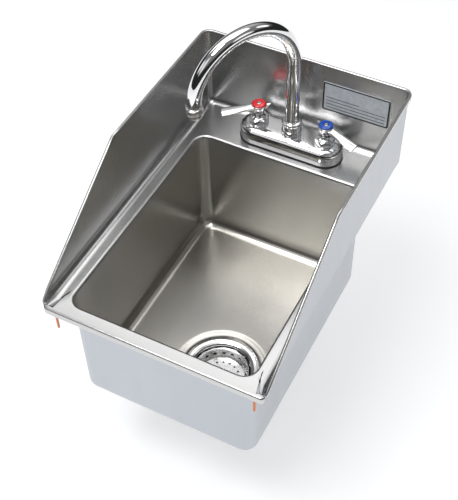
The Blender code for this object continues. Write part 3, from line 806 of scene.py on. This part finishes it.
def gooseneck():
    """The bent spout tube, and the aerator at its outlet."""
    outward = Vector((math.cos(SPOUT_ANGLE), math.sin(SPOUT_ANGLE), 0))
    across = Vector((-math.sin(SPOUT_ANGLE), math.cos(SPOUT_ANGLE), 0))
    base = Vector((0, FAUCET_Y, 0))
    start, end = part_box("spout_tube")[0][2], 0.1455
    path = [base + Vector((0, 0, start + (ARCH_START_Z - start) * t)) for t in np.arange(14) / 14]
    for a in np.linspace(0, math.pi, 73):
        path.append(base + outward * (ARCH_RADIUS * (1 - math.cos(a)))
                    + Vector((0, 0, ARCH_START_Z + ARCH_RADIUS * math.sin(a))))
    outlet = base + outward * (2 * ARCH_RADIUS)
    path.append(outlet + Vector((0, 0, end)))
    tube = sweep(path, across, TUBE_RADIUS, 56, "gooseneck_tube", CHROME, TUBE_WALL)
    place(tube, "spout", "chrome", "spout_tube")
    housing = turned("aerator_shell", [
        (0.0106, 0.1500), (0.0116, 0.1494), (0.0118, 0.1482), (0.0118, 0.1438), (0.0114, 0.1430), (0.0104, 0.1424),
        (0.0104, 0.1412), (0.0100, 0.1408), (0.0100, 0.1402), (0.0104, 0.1398), (0.0104, 0.1356), (0.0099, 0.1346),
        (0.0080, 0.1345), (0.0078, 0.1358), (0.0088, 0.1362), (0.0088, 0.1452), (0.0098, 0.1456), (0.0098, 0.1500),
    ], (outlet.x, outlet.y), CHROME, edge=0.0003)
    place(housing, "spout", "chrome", "aerator_housing")
    screen_bars = []
    low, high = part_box("aerator_screen")
    radius = (high[0] - low[0]) / 2
    for k in range(-6, 7):
        reach = math.sqrt(max(radius ** 2 - (k * 0.00125) ** 2, 0))
        for direction in (0, 1):
            start = Vector((outlet.x, outlet.y, low[2] + 0.0006))
            shift = Vector((k * 0.00125, -reach, 0)) if direction else Vector((-reach, k * 0.00125, 0))
            other = Vector((k * 0.00125, reach, 0)) if direction else Vector((reach, k * 0.00125, 0))
            line = [start + shift, start + other]
            normal = Vector((0, 0, 1))
            screen_bars.append(sweep(line, normal, 0.00028, 8, f"wire_{k + 6}_{direction}", SCREEN))
    rim = turned("screen_rim", box_profile(radius - 0.0012, radius, low[2], high[2]), (outlet.x, outlet.y), SCREEN, 48)
    place(together("aerator_mesh", rim, *screen_bars), "spout", "white_plastic", "aerator_screen")


def spout_base():
    """The adapter on the body, and the nut that holds the spout to it."""
    spot = (0.0, FAUCET_Y)
    base = BODY_TOP_Z + 0.0003
    flange = turned("adapter_flange", [
        (0.0128, 0.0338), (0.0138, 0.0330), (0.0142, 0.0318), (0.0142, base + 0.0004), (0.0138, base),
        (0.0098, base), (0.0098, 0.0405), (0.0110, 0.0405), (0.0110, 0.0338),
    ][::-1], spot, CHROME)
    flange.data.flip_normals()
    place(flange, "sink", "chrome", "spout_adapter")
    cap = turned("swivel_nut", [
        (0.0104, 0.0480), (0.0128, 0.0474), (0.0141, 0.0462), (0.0143, 0.0450), (0.0139, 0.0438), (0.0136, 0.0428),
        (0.0136, 0.0350), (0.0134, 0.0341), (0.0113, 0.0341), (0.0113, 0.0431), (0.0098, 0.0431), (0.0098, 0.0478),
    ], spot, CHROME)
    place(cap, "sink", "chrome", "spout_nut")


# ---------------------------------------------------------------- drain

def strainer():
    """The strainer body with its flange and thread, its washers, nut and tailpiece."""
    low = SEAT_Z + 0.0003
    body_low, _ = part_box("strainer_body")
    bore, thread = 0.0410, 0.0435
    cup_floor = SEAT_Z - 0.045
    wall = thread - bore
    profile = [
        (0.0420, low - 0.0006), (0.0436, low + 0.0012), (0.0462, low + 0.0025), (0.0498, low + 0.0030),
        (0.0532, low + 0.0024), (0.0556, low + 0.0011), (FLANGE_RADIUS, low + 0.0004),
        (FLANGE_RADIUS, low), (thread, low),
    ]
    pitch = 0.0024
    for k in range(int(0.040 / pitch)):
        top = low - 0.001 - k * pitch
        profile += [(thread - 0.0009, top), (thread, top - pitch * 0.4), (thread, top - pitch * 0.6)]
    profile += [
        (thread - 0.0009, cup_floor + 0.001), (thread - 0.001, cup_floor), (0.0220, cup_floor - wall),
        (0.0220, body_low[2]), (0.0180, body_low[2]), (0.0180, cup_floor), (bore - 0.004, cup_floor + 0.006),
        (bore, cup_floor + 0.020), (bore, low - 0.0080), (bore + 0.0002, low - 0.0040), (bore + 0.0008, low - 0.0012),
    ]
    body = turned("strainer_flange", profile, DRAIN, DRAIN_STEEL, 120, True, 0.0006)
    place(body, "sink", "chrome", "strainer_body")
    for node, name, coat, slot in (("strainer_gasket", "flange_gasket", RUBBER, "black_rubber"),
                                   ("friction_washer", "fibre_washer", FIBRE, "fibre")):
        node_low, node_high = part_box(node)
        radius = (node_high[0] - node_low[0]) / 2
        piece = turned(name, box_profile(0.0438, radius, node_low[2], node_high[2]), DRAIN, coat, 96, True, 0.0003)
        place(piece, "sink", slot, node)
    lug_nut()
    tail()


def lug_nut():
    """The strainer's ring nut, with twelve cast lugs."""
    low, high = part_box("strainer_locknut")
    tip = (high[0] - low[0]) / 2
    root = tip - 0.0045
    angles = np.arange(288) * 2 * math.pi / 288

    def outer(z, shrink):
        ring = []
        for a in angles:
            wave = (a * 12 / (2 * math.pi)) % 1.0
            rise = smoothstep(wave, 0.0, 0.10) * (1 - smoothstep(wave, 0.45, 0.55))
            radius = root + (tip - root) * rise - shrink
            ring.append((DRAIN[0] + radius * math.cos(a), DRAIN[1] + radius * math.sin(a), z))
        return ring[::-1]

    def bore(z):
        return [(DRAIN[0] + 0.0438 * math.cos(a), DRAIN[1] + 0.0438 * math.sin(a), z) for a in angles][::-1]

    rows = [outer(high[2], 0.0006), outer(high[2] - 0.0004, 0.0001), outer(low[2] + 0.0004, 0.0001),
            outer(low[2], 0.0006), bore(low[2]), bore(high[2])]
    place(skin("strainer_lug_nut", rows, BRASS, loop_rows=True), "sink", "brass", "strainer_locknut")


def tail():
    """The tailpiece and its ribbed slip nut."""
    low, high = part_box("tailpiece")
    pipe = turned("tail_pipe", [
        (0.0219, high[2]), (0.0219, high[2] - 0.0015), (0.0190, high[2] - 0.0015), (0.0190, low[2]),
        (0.0180, low[2]), (0.0180, high[2]),
    ], DRAIN, CHROME, 72, True, 0.0003)
    place(pipe, "sink", "chrome", "tailpiece")
    low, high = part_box("tailpiece_nut")
    outer = (high[0] - low[0]) / 2
    angles = np.arange(240) * 2 * math.pi / 240

    def ribbed(z, radius, depth):
        ring = []
        for a in angles:
            r = radius - depth * (0.5 - 0.5 * math.cos(10 * a)) ** 3
            ring.append((DRAIN[0] + r * math.cos(a), DRAIN[1] + r * math.sin(a), z))
        return ring[::-1]

    def inside(z, radius):
        return [(DRAIN[0] + radius * math.cos(a), DRAIN[1] + radius * math.sin(a), z) for a in angles][::-1]

    rows = [ribbed(high[2], outer - 0.0006, 0.0), ribbed(high[2] - 0.0006, outer, 0.0),
            ribbed(high[2] - 0.0030, outer, 0.0), ribbed(high[2] - 0.0036, outer, 0.0012),
            ribbed(low[2] + 0.0030, outer, 0.0012), ribbed(low[2] + 0.0012, outer - 0.0010, 0.0006),
            ribbed(low[2], outer - 0.0024, 0.0),
            inside(low[2], 0.0193), inside(low[2] + 0.003, 0.0193),
            inside(low[2] + 0.003, 0.0223), inside(high[2], 0.0223)]
    place(skin("slip_nut", rows, CHROME, loop_rows=True), "sink", "chrome", "tailpiece_nut")


def ring_of_holes(obj, count, radius, hole, low, high, turn, tilt=0.0):
    """Cuts round holes through a turned piece, upright or leaning outwards."""
    cutters = []
    for k in range(count):
        a = turn + 2 * math.pi * k / count
        bpy.ops.mesh.primitive_cylinder_add(
            vertices=20, radius=hole, depth=high - low,
            location=(DRAIN[0] + radius * math.cos(a), DRAIN[1] + radius * math.sin(a), (low + high) / 2),
            rotation=(0, tilt, a),
        )
        cutters.append(bpy.context.object)
    cutter = together(obj.name + "_cutter", *cutters)
    step = obj.modifiers.new("holes", "BOOLEAN")
    step.operation = "DIFFERENCE"
    step.solver = "EXACT"
    step.object = cutter
    with bpy.context.temp_override(object=obj, active_object=obj):
        bpy.ops.object.modifier_move_to_index(modifier="holes", index=0)
        bpy.ops.object.modifier_apply(modifier="holes")
    bpy.data.objects.remove(cutter, do_unlink=True)
    obj.data.shade_smooth()
    obj.data.set_sharp_from_angle(angle=math.radians(38))


def basket():
    """The perforated basket, the post with its knob and the stopper."""
    low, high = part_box("basket_cup")
    rim, floor = high[2], low[2]
    outer = (high[0] - low[0]) / 2 - 0.0008
    skin_thick = 0.0009
    floor_top = floor + skin_thick
    cup = turned("perforated_cup", [
        (outer - 0.0010, rim), (outer, rim - 0.0008), (outer, rim - 0.0022), (outer - 0.0014, rim - 0.0030),
        (outer - 0.0030, floor + 0.0030), (outer - 0.0062, floor), (0.0042, floor), (0.0042, floor_top),
        (outer - 0.0066, floor_top), (outer - 0.0039, floor + 0.0034), (outer - 0.0023, rim - 0.0030),
        (outer - 0.0023, rim - 0.0006),
    ], DRAIN, BASKET_STEEL, 120, True, 0.0004)
    ring_of_holes(cup, 17, 0.0250, 0.0016, floor - 0.003, floor + 0.003, math.radians(88.8))
    ring_of_holes(cup, 18, outer - 0.0030, 0.0027, rim - 0.0135, rim - 0.0055, math.radians(91.1), math.pi / 2)
    place(cup, "basket", "chrome", "basket_cup")
    post_low, post_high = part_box("basket_post")
    knob = turned("basket_knob", [
        (0.0, post_high[2]), (0.0038, post_high[2] - 0.0003), (0.0062, post_high[2] - 0.0014),
        (0.0070, post_high[2] - 0.0033), (0.0052, post_high[2] - 0.0052), (0.0036, post_high[2] - 0.0064),
        (0.0031, post_high[2] - 0.0080), (0.0031, post_low[2]), (0.0, post_low[2]),
    ], DRAIN, DRAIN_STEEL, 48, False, 0.0005)
    place(knob, "stopper", "chrome", "basket_post")
    stop_low, stop_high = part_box("basket_stopper")
    rubber = turned("rubber_stopper", [
        (0.0100, stop_high[2]), (0.0200, stop_high[2] - 0.0010), (0.0230, stop_high[2] - 0.0024),
        (0.0230, stop_high[2] - 0.0046), (0.0205, stop_low[2] + 0.0014), (0.0120, stop_low[2]),
        (0.0035, stop_low[2]), (0.0035, stop_high[2]),
    ], DRAIN, RUBBER, 64, True, 0.0005)
    place(rubber, "stopper", "black_rubber", "basket_stopper")


def coat_kept_nodes():
    """Finishes for the inner pieces that keep their own solids."""
    coats = {"cartridge": BRASS, "spindle": BRASS, "o_ring": RUBBER, "washer": RUBBER}
    for name, obj in frame["nodes"].items():
        for word, coat in coats.items():
            if word in name and name != "friction_washer":
                obj.data.materials.clear()
                obj.data.materials.append(coat)


# ---------------------------------------------------------------- stage

def camera():
    """The photo's camera."""
    back = Vector((
        math.sin(CAMERA_AZIMUTH) * math.cos(CAMERA_ELEVATION),
        -math.cos(CAMERA_AZIMUTH) * math.cos(CAMERA_ELEVATION),
        math.sin(CAMERA_ELEVATION),
    ))
    level = Vector((0, 0, 1)).cross(back).normalized()
    upright = back.cross(level)
    right = level * math.cos(CAMERA_ROLL) + upright * math.sin(CAMERA_ROLL)
    up = back.cross(right)
    data = bpy.data.cameras.new("camera")
    data.lens = CAMERA_LENS
    data.sensor_width = 36
    data.shift_x, data.shift_y = CAMERA_SHIFT
    obj = bpy.data.objects.new("camera", data)
    bpy.context.scene.collection.objects.link(obj)
    facing = Matrix((right, up, back)).transposed().to_4x4()
    facing.translation = Vector(CAMERA_TARGET) + back * CAMERA_DISTANCE
    obj.matrix_world = facing
    bpy.context.scene.camera = obj


def area_light(name, place_at, aim, size, power):
    """A white rectangle of light that shows in reflections but not directly."""
    data = bpy.data.lights.new(name, "AREA")
    data.shape = "RECTANGLE"
    data.size, data.size_y = size
    data.energy = power
    obj = bpy.data.objects.new(name, data)
    bpy.context.scene.collection.objects.link(obj)
    obj.location = place_at
    obj.rotation_euler = (Vector(aim) - Vector(place_at)).to_track_quat("-Z", "Y").to_euler()
    obj.visible_camera = False


def world():
    """A dim studio with soft bright cards overhead, and a pale backdrop where it is seen directly."""
    made = bpy.data.worlds.new("studio")
    bpy.context.scene.world = made
    made.use_nodes = True
    nodes, links = made.node_tree.nodes, made.node_tree.links
    where = nodes.new("ShaderNodeTexCoord")
    parts = nodes.new("ShaderNodeSeparateXYZ")
    links.new(where.outputs["Generated"], parts.inputs["Vector"])
    base = nodes.new("ShaderNodeMapRange")
    base.interpolation_type = "SMOOTHSTEP"
    for socket, value in (("From Min", 0.30), ("From Max", 0.50), ("To Min", WORLD_HORIZON), ("To Max", WORLD_DIM)):
        base.inputs[socket].default_value = value
    links.new(parts.outputs["Z"], base.inputs["Value"])
    total = base.outputs["Result"]
    for direction, inner, outer, strength in WORLD_CARDS:
        dot = nodes.new("ShaderNodeVectorMath")
        dot.operation = "DOT_PRODUCT"
        links.new(where.outputs["Generated"], dot.inputs[0])
        dot.inputs[1].default_value = Vector(direction).normalized()
        glow = nodes.new("ShaderNodeMapRange")
        glow.interpolation_type = "SMOOTHSTEP"
        glow.inputs["From Min"].default_value = math.cos(math.radians(outer))
        glow.inputs["From Max"].default_value = math.cos(math.radians(inner))
        glow.inputs["To Min"].default_value = 0.0
        glow.inputs["To Max"].default_value = strength
        links.new(dot.outputs["Value"], glow.inputs["Value"])
        add = nodes.new("ShaderNodeMath")
        add.operation = "ADD"
        links.new(glow.outputs["Result"], add.inputs[0])
        links.new(total, add.inputs[1])
        total = add.outputs["Value"]
    path = nodes.new("ShaderNodeLightPath")
    seen = nodes.new("ShaderNodeMix")
    seen.data_type = "RGBA"
    seen.inputs["B"].default_value = BACKDROP
    links.new(path.outputs["Is Camera Ray"], seen.inputs["Factor"])
    links.new(total, seen.inputs["A"])
    links.new(seen.outputs["Result"], nodes["Background"].inputs["Color"])


def floor():
    """A pale, faintly glowing floor under the part's lowest point."""
    z = float(cad_low[2])
    coat = new_material("floor_white", (0.80, 0.80, 0.80), 0.9, 0.0)
    grain = stretched_noise(coat, (1, 1, 1), 3.0, 2.0)
    vary_colour(coat, remap(coat, grain, 0.0, 1.0), (0.79, 0.79, 0.80), (0.81, 0.81, 0.81))
    shader_of(coat).inputs["Emission Color"].default_value = (0.98, 0.99, 1, 1)
    shader_of(coat).inputs["Emission Strength"].default_value = FLOOR_GLOW
    corners = [(-4, -4, z), (4, -4, z), (4, 4, z), (-4, 4, z)]
    obj = finish_mesh("studio_floor", corners, [(0, 1, 2, 3)], coat, weighted=False)


camera()
world()
floor()
area_light("key", (-0.3, -0.55, 2.0), (0, 0.2, 0), (1.0, 0.8), KEY_POWER)
area_light("rim_card", (-0.24, 0.36, 0.5), (-0.24, 0.36, 0), (0.66, 0.20), RIM_CARD_POWER)
bpy.context.scene.view_settings.view_transform = "Standard"

place(sink_shell(), "sink", "brushed_steel", "deck_and_splash", "sink_bowl")
for corner_word in ("front_left", "front_right", "rear_left", "rear_right"):
    stud(corner_word)
nameplate()
faucet_body()
for tap, tap_side, tap_angle, tap_colour in (("hot", -1, HOT_ANGLE, RED), ("cold", 1, COLD_ANGLE, BLUE)):
    bonnet(tap, (tap_side * HANDLE_X, FAUCET_Y))
    lever_handle(tap, tap_side, tap_angle, tap_colour)
    under_deck(tap, tap_side)
spout_base()
gooseneck()
strainer()
basket()
coat_kept_nodes()
